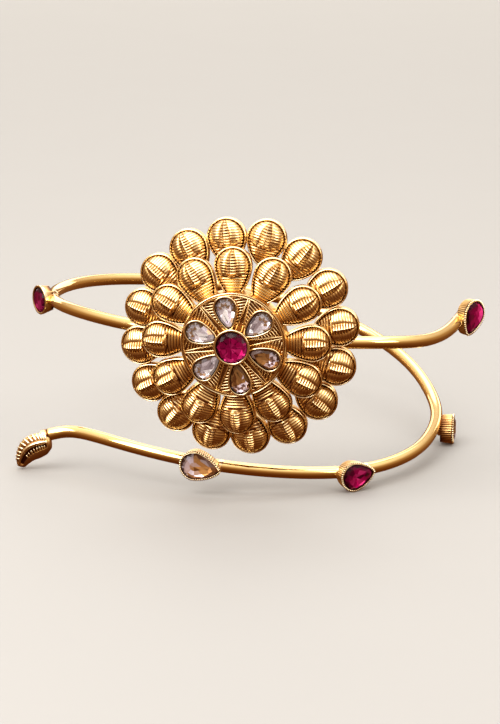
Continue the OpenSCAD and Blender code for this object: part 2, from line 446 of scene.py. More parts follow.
class Shader:
    """A new material with one Principled shader, and a method that adds any node to it."""

    def __init__(self, name, **constants):
        self.material = bpy.data.materials.new(name)
        self.material.use_nodes = True
        self.tree = self.material.node_tree
        self.main = self.tree.nodes["Principled BSDF"]
        for key, value in constants.items():
            self.main.inputs[key.replace("_", " ")].default_value = value

    def node(self, kind, settings=None, out=0, **inputs):
        """Adds a node. Its inputs go by name or, as i and a number, by place."""
        node = self.tree.nodes.new(kind)
        for key, value in (settings or {}).items():
            setattr(node, key, value)
        for key, value in inputs.items():
            numbered = key[0] == "i" and key[1:].isdigit()
            place = node.inputs[int(key[1:]) if numbered else key.replace("_", " ")]
            if isinstance(value, Socket):
                self.tree.links.new(value.socket, place)
            else:
                place.default_value = value
        return Socket(self.tree, node.outputs[out])

    def mix(self, factor, first, second):
        """Mixes two colours."""
        return self.node("ShaderNodeMix", {"data_type": "RGBA"}, 2, i0=factor, i6=first, i7=second)

    def feed(self, **values):
        """Links varying values into the Principled shader."""
        for key, value in values.items():
            self.tree.links.new(value.socket, self.main.inputs[key.replace("_", " ")])

    def attribute(self, name, out=2):
        """Reads a number that the mesh carries under a name, or with out=1 a direction."""
        return self.node("ShaderNodeAttribute", {"attribute_name": name}, out)


# %% [markdown]
# ## Gold
#
# Old gold plate is warm and very even where it is worn, and on its exposed places it is painted
# paler still as a highlight. In the depths it turns a deep brown, partly from age and partly as
# painted shade. The material mixes them by the recess number, broken up with a little noise so
# that the edge of the brown isn't drawn with a ruler. Fine scratches and small dents only tilt the
# reflections.

# %% Gold
# The pale gold is partly wear and partly a painted highlight; the old gold and the darkest brown are
# partly age and dirt and partly painted shade
GOLD = (0.98, 0.7, 0.29, 1)
WORN_AND_HIGHLIT_GOLD = (1.0, 0.86, 0.58, 1)
OLD_GOLD_AND_SHADE = (0.42, 0.12, 0.02, 1)
DIRT_AND_DEEP_SHADE = (0.06, 0.013, 0.003, 1)
# How fine the noises are, in waves per metre
CLOUDS, DENTS, SCRATCHES = 420.0, 260.0, 1900.0


def gold_material(name, roughness, worn_and_highlit):
    """Gold with its age and painted shade; worn_and_highlit says how far its bare places are painted
    pale, as wear and as a highlight.
    """
    gold = Shader(name, Metallic=1.0)
    place = gold.node("ShaderNodeTexCoord", out=3)
    recess = gold.attribute("recess")
    cloud = gold.node("ShaderNodeTexNoise", Vector=place, Scale=CLOUDS, Detail=3.0)
    # The recess number stands for age and painted shade; near 0 the gold is painted pale as a
    # highlight
    patina_and_shade = (recess * 1.15 + (cloud - 0.5) * 0.45).clamped()
    bare_and_highlit = gold.mix((1.0 - recess * 5.0).clamped() * worn_and_highlit, GOLD, WORN_AND_HIGHLIT_GOLD)
    warm = gold.mix(patina_and_shade ** 1.2, bare_and_highlit, OLD_GOLD_AND_SHADE)
    colour = gold.mix((patina_and_shade * 2.2 - 1.25).clamped(), warm, DIRT_AND_DEEP_SHADE)
    scratch = gold.node("ShaderNodeTexNoise", Vector=place, Scale=SCRATCHES, Detail=2.0)
    dent = gold.node("ShaderNodeTexNoise", Vector=place, Scale=DENTS, Detail=2.0)
    relief = gold.node(
        "ShaderNodeBump", Height=dent * 0.35 + scratch * 0.03, Strength=0.3, Distance=0.0002
    )
    gold.feed(
        Base_Color=colour,
        Roughness=(roughness + patina_and_shade * 0.3 + (scratch - 0.5) * 0.1).clamped(),
        Normal=relief,
    )
    return gold.material


aged_and_shaded_gold = gold_material("aged_and_shaded_gold", 0.18, 1.0)
wire_gold = gold_material("wire_gold", 0.09, 0.0)


def gilded(piece, place, node, gold=aged_and_shaded_gold):
    """Finishes a piece in gold and says how many triangles it has."""
    finished(piece, place, gold, "gold", node)
    return made[piece.name]


print("gold:", aged_and_shaded_gold.name, wire_gold.name)

# %% [markdown]
# ## Stones
#
# The stones are cut glass over foil, as in much old jewellery. What shows is a polished surface
# and, seen through it, the bright hollow of the foil with the back facets. The light that falls in
# from above left therefore glows at the lower right, opposite to where a round metal bead would
# shine; on the rubies this light at the lower right is also painted into the colour. One shader
# can do this without any slow glass: its coat is the polished front and follows the mesh, and its
# metal base is the foil and follows a direction of its own, which each face of the stone carries
# as the attribute "foil".


# %% Glass over foil
def stone_material(name, dark, middle, light, edge):
    """Colours of the back facets, from dark to light, and of the rim near the collet, where a shadow
    and a reflection of the collet are painted.
    """
    stone = Shader(
        name, Metallic=0.6, Roughness=0.3, Specular_IOR_Level=0.1, Specular_Tint=light,
        Coat_Weight=0.4, Coat_Roughness=0.03, Coat_IOR=1.4,
    )
    shade, rim, foil = stone.attribute("shade"), stone.attribute("rim"), stone.attribute("foil", 1)
    lower = stone.mix((shade * 2).clamped(), dark, middle)
    colour = stone.mix((shade * 2 - 1).clamped(), lower, light)
    stone.feed(Base_Color=stone.mix(rim, colour, edge), Normal=foil)
    return stone.material


# Columns: the back facets' dark, middle and light colour, and the rim's painted shadow and
# reflection of the collet
STONE_COLOURS = {
    "ruby": ((0.1, 0.001, 0.026), (0.34, 0.002, 0.072), (0.78, 0.05, 0.26), (0.05, 0.001, 0.01)),
    "clear_stone": ((0.34, 0.27, 0.31), (0.68, 0.62, 0.7), (0.95, 0.93, 0.98), (0.36, 0.18, 0.06)),
    "champagne_stone": ((0.2, 0.07, 0.02), (0.55, 0.27, 0.09), (0.85, 0.76, 0.9), (0.12, 0.03, 0.008)),
}
STONES = {
    name: stone_material(name, *((*colour, 1) for colour in colours))
    for name, colours in STONE_COLOURS.items()
}
print("stones:", ", ".join(STONES))

# %% [markdown]
# ## The wire
#
# The wire is a single round rod, so the natural tool is a curve with a round bevel. Its route is
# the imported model's: the angle round the coil, how far it swings outside the coil's radius, and its
# height. Between the rows a cubic B-spline rounds the route off, as a sprung wire does by itself. A
# thin brown line near its lower end marks the seam where the leaf begins.

# %% Route
WIRE_R = 1.25
COIL_R = 40
ROW_STEP = 0.1
# Columns: angle round the coil, distance outside its radius, height
ROUTE = [
    (-19, 6.4, 29.9), (-26, 6.6, 29.2), (-34, 7.4, 28.9), (-42, 8.4, 29.2), (-50, 8.8, 30.1),
    (-60, 6.6, 30.9), (-74, 2, 31.1), (-90, -0.2, 31.5), (-107, -1.2, 31.9), (-125, -1.3, 32.2),
    (-142, -1.1, 32.3), (-159, -0.7, 31.7), (-176, -0.2, 30.6), (-194, 0, 29.5), (-212, 0, 28.4),
    (-234, 0, 26.2), (-255, 0, 23.9), (-276, 0, 21), (-297, -0.2, 17.6), (-318, -0.5, 13.8),
    (-338, -0.7, 10.2), (-351, -0.4, 7.4), (-364, 0, 5.6), (-377, 0, 4.5), (-390, 1, 3.8),
    (-404, 2, 3.4), (-418, 1.8, 3.2), (-431, 0.4, 3.7), (-445, -0.4, 4.6), (-460, -0.6, 5.7),
    (-475, -0.3, 7), (-489, 0, 7.9), (-501, 1, 8.3), (-507.5, 3, 8.1), (-510, 7.2, 6.9),
]
LAST_ROW = len(ROUTE) - 1


def table_value(table, at):
    """Smooth value of a table of rows at a row number that may lie between rows."""
    rows = [Vector(row) for row in table]
    rows = [2 * rows[0] - rows[1]] + rows + [2 * rows[-1] - rows[-2]]
    first = min(int(at), len(table) - 2)
    t = at - first
    weights = ((1 - t) ** 3, 3 * t**3 - 6 * t**2 + 4, -3 * t**3 + 3 * t**2 + 3 * t + 1, t**3)
    total = rows[first] * 0
    for k, weight in enumerate(weights):
        total += rows[first + k] * weight / 6
    return total


def wire_point(at):
    """A point of the wire's middle line, by a row number."""
    angle, out, height = table_value(ROUTE, at)
    turn = math.radians(angle)
    r = COIL_R + out
    return COIL_AXIS + Vector((r * math.cos(turn), r * math.sin(turn), height))


def wire_heading(at):
    """The wire's direction at a row number."""
    ahead = wire_point(min(at + ROW_STEP / 2, LAST_ROW))
    return (ahead - wire_point(max(at - ROW_STEP / 2, 0))).normalized()


def row_at(angle):
    """Row number of the route at an angle round the coil."""
    return last_place(lambda at: table_value(ROUTE, at)[0] > angle, 0.0, LAST_ROW, 16)


print("wire's ends:", [[round(v, 1) for v in wire_point(at)] for at in (0, LAST_ROW)])

# %% Wire
RINGS_PER_ROW = 8
SEAM_FROM, SEAM_TO = 1.6, 2.1
bpy.ops.curve.primitive_nurbs_path_add(location=(0, 0, 0))
wire = named("wire")
wire.data.splines.clear()
spline = wire.data.splines.new("POLY")
spline.points.add(LAST_ROW * RINGS_PER_ROW)
for i, point in enumerate(spline.points):
    point.co = (*wire_point(i / RINGS_PER_ROW), 1)
wire.data.bevel_depth = WIRE_R
wire.data.bevel_resolution = 5
wire.data.use_fill_caps = True
only(wire)
bpy.ops.object.convert(target="MESH")
wire = named("wire")
wire_end = wire_point(LAST_ROW)
mark_recess(wire, lambda p: 1.0 if SEAM_FROM < (p - wire_end).length < SEAM_TO else 0.0)
smooth(wire, 50)
print("wire:", gilded(wire, Matrix(), "band", wire_gold), "triangles")

# %% [markdown]
# ## The flower's own frame
#
# The flower stands upright in front of the coil and faces a little to the left. All its pieces are
# modelled flat on their backs, with the flower's middle at the origin, and this one matrix stands
# them up.

# %% Flower frame
FLOWER_OUT = 1.6
FLOWER_HEIGHT = 32.4
FLOWER_SIDE = -1
FLOWER_TURN = 10
FLOWER_MIDDLE = COIL_AXIS + Vector((FLOWER_SIDE, -(COIL_R + FLOWER_OUT), FLOWER_HEIGHT))
IN_FLOWER = Matrix.Translation(FLOWER_MIDDLE) @ rotation(-FLOWER_TURN) @ rotation(90, "X")


def spun(degrees, out, height):
    """Place in the flower: turned about its middle, then moved outwards and up."""
    return IN_FLOWER @ rotation(degrees) @ Matrix.Translation((out, 0, height))


print("flower's middle:", [round(v, 1) for v in FLOWER_MIDDLE])

# %% [markdown]
# ## Petals
#
# The flower is gently domed, so that the petals lean back from its middle: the upper ones catch the
# light from above and the lower ones face down. Each petal is pressed from thin sheet: an
# upright wall with a smooth bright edge, and inside it a puffed dome with about twenty grooves. The
# dome's plan is a pear, pointing to the middle of the flower. A pear that is spun about its own axis
# gives just such a dome, so we draw half its outline as a line, spin the line half a turn, and then
# ripple the result and press it flatter. A keel runs from the tip over the dome and stops a little
# past the middle.

# %% Petal sizes
PETAL_STAGGER = 0.1
# The tips' distance from the middle, the outline, the first petal's direction, the height at which
# the petals stand and how far they lean back
RINGS = {
    "outer": {"reach": 23.6, "shape": (9.2, 7.76, 1.6), "start": 6.7, "foot": 0.0, "lean": 9},
    "inner": {"reach": 18.45, "shape": (10.1, 7.3, 1.6), "start": 0.9, "foot": 3.1, "lean": 8},
}
# Each petal was bent into place by hand. Columns: further out in mm, further round in degrees
BENT = {
    "outer": [
        (0, 2.1), (0.4, 1.9), (0.6, 1.2), (0.6, 0.3), (0, 0), (-0.1, 0), (-0.2, 0), (-0.6, 0.2),
        (-0.3, 0), (0, 0), (0, 0), (-0.2, 0), (-0.3, 0), (-0.3, 0.2), (-0.3, 0.8), (-0.2, 1.6),
    ],
    "inner": [
        (0, 0.4), (0.3, 0.8), (0.1, 0.6), (0.1, 1), (-0.1, 1.3), (-0.1, 0), (0, -0.3), (0, 0),
        (0, 0.3), (-0.1, 0), (-0.8, 0.3), (0, 1.2),
    ],
}
WALL_PROFILE = [
    (0.0, 0.0), (1.32, 0.0), (1.46, 0.05), (1.52, 0.17), (1.46, 0.29), (1.34, 0.34),
    (1.1, 0.35), (1.08, 0.95), (0.88, 0.95), (0.88, 0.37), (0.0, 0.37),
]
WALL_POINTS = 60
EDGE_FROM, CHANNEL_FROM = 1.2, 0.5


# %% Petal wall
def petal_wall(shape):
    """A petal's upright wall, painted pale along its edge as a highlight and darkest in the channel
    below it as a painted shadow.
    """
    wall = turned("wall", shape, WALL_PROFILE, WALL_POINTS, hollow=True)
    # Painted highlight on the edge, painted shadow in the channel below it
    mark_recess(wall, lambda p: 0.05 if p.z > EDGE_FROM else 1.0 if p.z > CHANNEL_FROM else 0.45)
    return wall


# %% [markdown]
# The dome's grid has a line of points for every quarter groove along the petal and one for each
# few degrees round it. The keel gets its sharp outline from that grid: the lines round the dome are
# drawn together until one of them runs along the keel's edge and the middle one along its crest.
# The outer half of the dome stands over the rest like a hood, with a step at its curved edge that
# is darkened by painted shade.

# %% Dome sizes
DOME_INSET = 0.44
DOME_FOOT, DOME_TOP = 1.05, 3.35
DOME_STEPS = 40
SHEET = 0.18
GROOVE_PITCH, GROOVE_DEPTH = 0.54, 0.19
POINTS_PER_GROOVE = 4
# Where half the dome's width is less than this, its grooves get shallower
NARROW = 1.2
KEEL_HALF, KEEL_SHARE = 1.1, 0.62
KEEL_TAPER, KEEL_LENGTH = 2.4, 5.0
KEEL_RISE, KEEL_RAMP, KEEL_EDGE_DEPTH = 0.95, 0.8, 0.18
KEEL_STEPS = 7
HOOD_LENGTH, HOOD_CURVE, HOOD_STEP = 5.2, 1.5, 0.28
STEP_WIDTH = 0.3
# How much flatter than round the root's top is
ROOT_FLATNESS = 0.5
# Shares of the grooves' depth: beside the keel's crest, on the crest, on the hood, and what the
# root has more than the hood
BESIDE_CREST, ON_CREST, ON_HOOD, MORE_AT_ROOT = 1.9, 0.25, 0.66, 0.8


# %% Spun shape of the dome
def petal_dome(shape):
    """A half outline, spun half a turn, and the place of its tip."""
    tip = shape[1] / 2 - DOME_INSET
    root = -pear_reach(math.pi, shape, DOME_INSET)
    cells = round((tip - root) / GROOVE_PITCH * POINTS_PER_GROOVE)
    bpy.ops.mesh.primitive_grid_add(x_subdivisions=cells, y_subdivisions=1, size=2, location=(0, 0, 0))
    dome = named("dome")
    with editing(dome, "VERT"):
        pick(lambda p: p.y < 0, "verts")
        bpy.ops.mesh.delete(type="VERT")
    for point in dome.data.vertices:
        x = tip + (point.co.x - 1) / 2 * (tip - root)
        point.co = (x, half_width(x, shape, DOME_INSET), 0)
    with editing(dome, "VERT", "SELECT"):
        bpy.ops.mesh.spin(steps=DOME_STEPS, angle=math.pi, center=(0, 0, 0), axis=(1, 0, 0))
    tidy_normals(dome)
    return dome, tip


# %% Relief of the dome
def ripple(from_tip):
    """Depth of the groove at a place along the petal, 0 on a ridge and 1 in a groove."""
    return 1 - abs(math.sin(math.pi * from_tip / GROOVE_PITCH))


def dome_angle(from_crest, keel_angle):
    """Angle of a line from the crest: the first lines are drawn together on the keel."""
    if from_crest <= KEEL_STEPS:
        return keel_angle * from_crest / KEEL_STEPS
    rest = (from_crest - KEEL_STEPS) / (DOME_STEPS / 2 - KEEL_STEPS)
    return keel_angle + (math.pi / 2 - keel_angle) * rest


def groove_depth(wide, from_crest, keeled, below):
    """Depth of the grooves, which change on the keel and below the hood."""
    depth = GROOVE_DEPTH * min(1.0, wide / NARROW)
    depth *= BESIDE_CREST if keeled else ON_HOOD + MORE_AT_ROOT * below
    return depth * (ON_CREST if keeled and from_crest == 0 else 1.0)


def keel_lift(from_crest, from_tip, keel):
    """Height of the keel over the dome, with a fine groove along its edge."""
    if from_crest == KEEL_STEPS:
        return -KEEL_EDGE_DEPTH * keel
    if from_crest > KEEL_STEPS:
        return 0.0
    return KEEL_RISE * (1 - from_crest / KEEL_STEPS) * keel * min(1.0, from_tip / KEEL_RAMP)


def dome_patina_and_shade(groove, height, from_crest, keel, keeled, past_hood):
    """Brown in the grooves and beside the keel, partly age and partly painted shade; painted shade at
    the hood's edge and low on the dome.
    """
    if from_crest == KEEL_STEPS:
        groove = max(groove, 0.9 * keel)
    if from_crest == 0:
        groove *= 1 - 0.8 * keel
    groove *= 1.0 if keeled else 0.6 + 0.4 * clamped(past_hood / STEP_WIDTH)
    # Painted shade under the hood's step and low on the dome, next to the wall
    edge = 0.8 if 0.0 < past_hood < STEP_WIDTH else 0.0
    low = 0.7 * max(0.0, 1 - height / 0.35) + 0.35 * max(0.0, 1 - height / 1.6)
    return min(1.0, max(groove, edge, 0.9 * low))


# %% Petal dome
def pressed(spot, tip):
    """New place of a point of the spun shape, and its number of age and painted shade. Counted from
    the crest, the lines of points have whole numbers, and the one with the number KEEL_STEPS is the
    keel's edge."""
    from_tip, wide = tip - spot.x, math.hypot(spot.y, spot.z)
    if wide < 0.001:
        return (spot.x, spot.y, DOME_FOOT), 0.9
    from_crest = round(math.atan2(abs(spot.y), abs(spot.z)) / (math.pi / DOME_STEPS))
    keel_half = min(KEEL_SHARE * wide, KEEL_HALF * min(1.0, from_tip / KEEL_TAPER) ** 0.6)
    angle = dome_angle(from_crest, math.asin(keel_half / wide))
    keel = clamped((KEEL_LENGTH - from_tip) / STEP_WIDTH)
    keeled = from_crest < KEEL_STEPS and keel > 0.5
    past_hood = from_tip - HOOD_LENGTH + HOOD_CURVE * (1 - math.cos(angle))
    below = clamped(past_hood / STEP_WIDTH)
    groove = ripple(from_tip)
    radius = max(0.0, wide - groove_depth(wide, from_crest, keeled, below) * groove)
    radius += keel_lift(from_crest, from_tip, keel)
    press = (DOME_TOP - DOME_FOOT) / tip
    height = radius * max(0.0, math.cos(angle)) ** (1 - ROOT_FLATNESS * below) * press
    height -= HOOD_STEP * below * min(1.0, height)
    side = radius * math.sin(angle) * (1 if spot.y > 0 else -1)
    mark = dome_patina_and_shade(groove, height, from_crest, keel, keeled, past_hood)
    return (spot.x, side, DOME_FOOT + height), mark


def press_dome(dome, tip):
    """Ripples the spun shape, presses it flatter and raises the keel along its crest."""
    marks = []
    for point in dome.data.vertices:
        point.co, mark = pressed(point.co, tip)
        marks.append(mark)
    write_recess(dome, marks)
    with editing(dome, first="SELECT"):
        bpy.ops.mesh.normals_make_consistent(inside=False)
    if sum(face.normal.z * face.area for face in dome.data.polygons) < 0:
        with editing(dome, first="SELECT"):
            bpy.ops.mesh.flip_normals()


def make_petal(name, shape):
    """A wall with a dome inside."""
    dome, tip = petal_dome(shape)
    press_dome(dome, tip)
    modified(dome, "SOLIDIFY", thickness=SHEET, offset=-1.0)
    smooth(dome, 45)
    wall = petal_wall(shape)
    smooth(wall, 50)
    return joined(name, [wall, dome])


# %% Petals in two rings
for ring, size in RINGS.items():
    shape = size["shape"]
    model = make_petal(ring + "_petal", shape)
    for i, (further_out, further_round) in enumerate(BENT[ring]):
        petal = copied(model, f"{ring}_petal_{i + 1}")
        turn = size["start"] + 360 * i / len(BENT[ring]) + further_round
        out = size["reach"] - shape[1] / 2 + further_out
        lift = size["foot"] + i % 2 * PETAL_STAGGER
        gilded(petal, spun(turn, out, lift) @ rotation(size["lean"], "Y"), "flower")
    bpy.data.objects.remove(model)
    print(ring, "petals:", len(BENT[ring]), "of", made[f"{ring}_petal_1"], "triangles")

# %% [markdown]
# ## The disc
#
# A round plate lies over the petals' roots. Its edge is a double wire, six pairs of ribs run from
# the middle outwards and draw together, and the ground between them and the collets is filled with
# short parallel bars. The plate is turned like a lathe piece; the bars are one small rounded block
# each, laid out for one stone and then copied round.

# %% Disc plate
DISC_R = 10.3
DISC_PROFILE = [
    (6.05, 0.62), (3.5, 0.55), (3.5, 0.0), (6.86, 0.0), (7.0, 0.05), (7.05, 0.15), (7.0, 0.25),
    (6.84, 0.3), (6.84, 0.36), (7.06, 0.4), (7.18, 0.5), (7.18, 0.62), (7.06, 0.72), (6.75, 0.76),
]
WIRES_FROM, EDGE_WIDTH = 6.95, 0.2
DISC_STONES = 6
DISC_STEP = 360 / DISC_STONES


def plate_patina_and_shade(point):
    """A painted highlight on the edge's two wires; brown on the ground that they enclose, partly age
    and partly painted shade.
    """
    if point.z > WIRES_FROM:
        return 0.1
    return 0.75 if math.hypot(point.x, point.y) < DISC_R - EDGE_WIDTH else 0.3


plate = turned("disc", (2 * DISC_R, 2 * DISC_R, 2), DISC_PROFILE, 144)
mark_recess(plate, plate_patina_and_shade)
smooth(plate, 40)
print("disc:", gilded(plate, IN_FLOWER, "flower"), "triangles")

# %% Ribs
RIB_START = 11
RIB_INNER, RIB_OUTER = 3.2, 9.7
RIB_OPEN, RIB_CLOSE = 0.6, 0.17
RIB_HEIGHT, RIB_R = 6.86, 0.19


def bar_between(name, first, last, radius, tall=1.0, sides=10):
    """A round bar between two points, with rounded ends and some extra height."""
    run = Vector(last) - Vector(first)
    bar = ball(name, sides, 8)
    with editing(bar, "VERT"):
        pick(lambda p: p.z > 0.01, "verts")
        bpy.ops.transform.translate(value=(0, 0, run.length / radius))
    thickness = Matrix.Diagonal((radius, radius * tall, radius, 1))
    bar.data.transform(Matrix.Translation(first) @ laid_along(run) @ thickness)
    return bar


ribs = []
for i in range(DISC_STONES):
    for side in (-1, 1):
        start = (RIB_INNER, side * RIB_OPEN, RIB_HEIGHT)
        end = (RIB_OUTER, side * RIB_CLOSE, RIB_HEIGHT)
        rib = bar_between("rib", start, end, RIB_R)
        rib.data.transform(rotation(RIB_START + DISC_STEP * i))
        ribs.append(rib)
ribs = joined("ribs", ribs)
# Pale on top as a painted highlight, brown below, partly age and partly painted shade
mark_recess(ribs, lambda p: 0.1 if p.z > RIB_HEIGHT - 0.01 else 0.8)
smooth(ribs, 60)
print("ribs:", gilded(ribs, IN_FLOWER, "flower"), "triangles")

# %% Ground bars
PEAR_POWER = 1.5
PEAR = (7.0, 4.8, PEAR_POWER)
PEAR_OUTER_END = 9.95
PEAR_START = 41
PEAR_MIDDLE = PEAR_OUTER_END - PEAR[1] / 2
BARS_FROM, BARS_TO = 4.2, 9.5
BAR_PITCH = 0.56
BAR_HEIGHT, BAR_R = 6.76, 0.14
SHORTEST_BAR = 0.25
BESIDE_PEAR, BESIDE_RIBS = 0.1, 0.42
bars = []
out = BARS_FROM
while out < BARS_TO:
    inner = half_width(out - PEAR_MIDDLE, PEAR, BESIDE_PEAR)
    ribs_at = out * math.tan(math.pi / DISC_STONES)
    outer = min(ribs_at - BESIDE_RIBS, math.sqrt(BARS_TO**2 - out**2))
    if outer - inner > SHORTEST_BAR:
        for side in (-1, 1):
            start, end = (out, side * inner, BAR_HEIGHT), (out, side * outer, BAR_HEIGHT)
            bars.append(bar_between("bar", start, end, BAR_R, sides=8))
    out += BAR_PITCH
bars = joined("bars", bars)
fields = [bars]
for i in range(1, DISC_STONES):
    field = copied(bars, "bars")
    field.data.transform(rotation(DISC_STEP * i))
    fields.append(field)
ground = joined("ground_bars", fields)
ground.data.transform(rotation(PEAR_START))
# Pale on top as a painted highlight, brown below, partly age and partly painted shade
mark_recess(ground, lambda p: 0.1 if p.z > BAR_HEIGHT + 0.06 else 0.9)
smooth(ground, 60)
print("ground bars:", gilded(ground, IN_FLOWER, "flower"), "triangles")

# %% [markdown]
# ## Collets
#
# A collet is a cup that grips a stone. Its wall leans out a little, its rim is rounded over, and
# inside a ledge carries the stone. On some the rim's edge is milled into a row of fine grains, and
# the wall below it is fluted. One grain is modelled as a small ball and copied along the outline at
# even steps. The plain collet at the left bend stands on a foot with eight flat sides.

# %% Flutes, flat sides and grains
FLUTE_DEPTH = 0.12
FLUTES_TO_INSET = 0.22
FOOT_TOP = 0.1
RIM_STEPS = 720
GRAIN_INSET = 0.23
# A grain's radius as a share of the distance between two, and its length, width and height
GRAIN_SHARE, GRAIN_SHAPE = 0.36, (1.6, 1, 1.5)


def in_flute(turn, flutes):
    """Depth of the flute at a turn, 0 on the ridge between two flutes and 1 in the middle of one."""
    return abs(math.sin(flutes * turn / 2))


def flute(cup, shape, between, flutes):
    """Presses upright flutes into the outside of a cup, between two heights."""
    for point in cup.data.vertices:
        turn = math.atan2(point.co.y, point.co.x)
        reach = math.hypot(point.co.x, point.co.y)
        outside = pear_reach(turn, shape) - reach < FLUTES_TO_INSET
        if outside and between[0] < point.co.z < between[1]:
            share = 1 - FLUTE_DEPTH * in_flute(turn, flutes) / reach
            point.co.x *= share
            point.co.y *= share


def panel(cup, panels):
    """Presses a cup's foot flat on so many sides, and leaves its rim round."""
    half = math.pi / panels
    for point in cup.data.vertices:
        if point.co.z < FOOT_TOP:
            turn = math.atan2(point.co.y, point.co.x) % (2 * half) - half
            share = math.cos(half) / math.cos(turn)
            point.co.x *= share
            point.co.y *= share


def milled_rim(shape, height, grains):
    """A row of small balls at even steps along the outline."""
    turns = [2 * math.pi * k / RIM_STEPS - math.pi for k in range(RIM_STEPS + 1)]
    path = [pear_reach(turn, shape, GRAIN_INSET) * ray(turn) for turn in turns]
    gone = [0.0]
    for first, last in zip(path, path[1:]):
        gone.append(gone[-1] + (last - first).length)
    model = ball("grain", 8, 6, gone[-1] / grains * GRAIN_SHARE)
    model.data.transform(Matrix.Diagonal((*GRAIN_SHAPE, 1)))
    # The grains are painted pale all over, as wear and a painted highlight
    mark_recess(model, lambda p: 0.0)
    smooth(model, 60)
    row = []
    for k in range(grains):
        at = next(i for i, length in enumerate(gone) if length >= gone[-1] * k / grains)
        grain = copied(model, "grain_in_row")
        grain.location = path[at] + Vector((0, 0, height))
        ahead = path[min(at + 1, RIM_STEPS)] - path[max(at - 1, 0)]
        grain.rotation_euler.z = math.atan2(-ahead.x, ahead.y)
        bpy.ops.object.transform_apply(location=True, rotation=True)
        row.append(grain)
    bpy.data.objects.remove(model)
    return joined("milled_rim", row)


# %% Collet
def cup_profile(depth, wall, milled):
    """A cup's heights and insets: up its outside, over the rim and down to the ledge."""
    plain = [
        (depth - 0.62, 0.08), (depth - 0.6, 0.06), (depth - 0.14, 0.0), (depth - 0.04, 0.05),
        (depth, 0.14), (depth, wall - 0.12),
    ]
    fluted = [
        (0.2 * depth, 0.2), (depth - 0.55, 0.1), (depth - 0.36, 0.1), (depth - 0.32, 0.3),
        (depth - 0.03, 0.34), (depth, 0.38),
    ]
    inside = [(depth - 0.06, wall - 0.02), (depth - 0.2, wall + 0.02), (depth - 1, wall + 0.08)]
    return [(0.0, 0.32)] + (fluted if milled else plain) + inside


def collet(name, shape, depth, wall, grains=0, panels=0, foot_shade=0.32):
    """A cup with a milled rim and flutes, with a foot of flat sides, or plain; foot_shade says how
    much painted shade darkens its foot."""
    cup = turned(name, shape, cup_profile(depth, wall, grains > 0), 4 * grains or 72)
    if grains:
        flute(cup, shape, (0.1 * depth, depth - 0.5), grains)
    if panels:
        panel(cup, panels)

    def patina_and_shade(point):
        """Pale along the rim as wear and a painted highlight; dark inside and round the grains, partly
        age and partly painted shade; painted shade that grows down the wall.
        """
        turn = math.atan2(point.y, point.x)
        inset = pear_reach(turn, shape) - math.hypot(point.x, point.y)
        if point.z > depth - 0.12:
            return 0.05
        if inset > 0.34 or (grains and point.z > depth - 0.4):
            return 1.0
        return foot_shade * (1 - 0.9 * point.z / depth) + 0.6 * in_flute(turn, grains) ** 4

    mark_recess(cup, patina_and_shade)
    smooth(cup, 15 if panels else 40)
    return joined(name, [cup, milled_rim(shape, depth - 0.17, grains)]) if grains else cup


# %% Collets on the disc
PEAR_DEPTH, PEAR_TOP = 1.2, 7.92
CENTRE = (7.1, 7.1, 2)
CENTRE_DEPTH, CENTRE_TOP = 2.45, 9.1
CENTRE_PLACE = spun(0, 0, CENTRE_TOP - CENTRE_DEPTH)
PEAR_PLACES = [
    spun(PEAR_START + DISC_STEP * i, PEAR_MIDDLE, PEAR_TOP - PEAR_DEPTH) for i in range(DISC_STONES)
]
pear_cup = collet("pear_collet", PEAR, PEAR_DEPTH, wall=0.38)
for i, place in enumerate(PEAR_PLACES):
    gilded(copied(pear_cup, f"pear_collet_{i + 1}"), place, "flower")
bpy.data.objects.remove(pear_cup)
gilded(collet("centre_collet", CENTRE, CENTRE_DEPTH, wall=0.45), CENTRE_PLACE, "flower")
print("collets on the disc:", len(PEAR_PLACES) + 1)

# %% [markdown]
# ## Cutting the stones
#
# A cutter grinds one flat face after another against a wheel. Blender's bisect does the same: a
# plane cuts off what lies outside it and closes the cut with a face. So each stone starts as a
# block of the right outline, and a table of the wheel's settings gives its rows of facets: how
# many, how steep, how far they start from the girdle, and whether they lie between those of the
# row before.

# %% Facets
# Columns: number of facets, angle from the girdle's plane in degrees, height of the cut at the
# outline, turn by half a facet
CROWN = [(8, 34, 0.12, 0), (8, 19, 0.36, 1), (16, 44, 0.03, 1)]
PAVILION = [(8, 40, -0.1, 0)]
TABLE_BORDER = 0.14
STONE_DOUBLES = 0.004
INNER_PATCHES, OUTER_PATCHES = 6, 8
PATCH_START = 0.3
INNER_ZONE = 0.3


def grind(stone, point, normal):
    """Cuts off what lies outside a plane and closes the cut."""
    with editing(stone, first="SELECT"):
        bpy.ops.mesh.bisect(plane_co=point, plane_no=normal, use_fill=True, clear_outer=True)


def divide(stone, patches, test):
    """Divides the faces that pass a test into patches round the axis, and takes nothing off."""
    for k in range(patches // 2):
        turn = 2 * math.pi * (k + PATCH_START) / patches
        with editing(stone):
            pick(test)
            bpy.ops.mesh.bisect(plane_co=(0, 0, 0), plane_no=ray(turn))


def support(turn, shape, inset):
    """How far the outline reaches in a direction, which is where a facet touches the girdle."""
    steps = [2 * math.pi * k / 90 - math.pi for k in range(90)]
    return max(pear_reach(step, shape, inset) * math.cos(step - turn) for step in steps)


def from_axis(point, shape, inset):
    """Place of a point between the stone's axis, 0, and its outline, 1."""
    return math.hypot(point.x, point.y) / pear_reach(math.atan2(point.y, point.x), shape, inset)


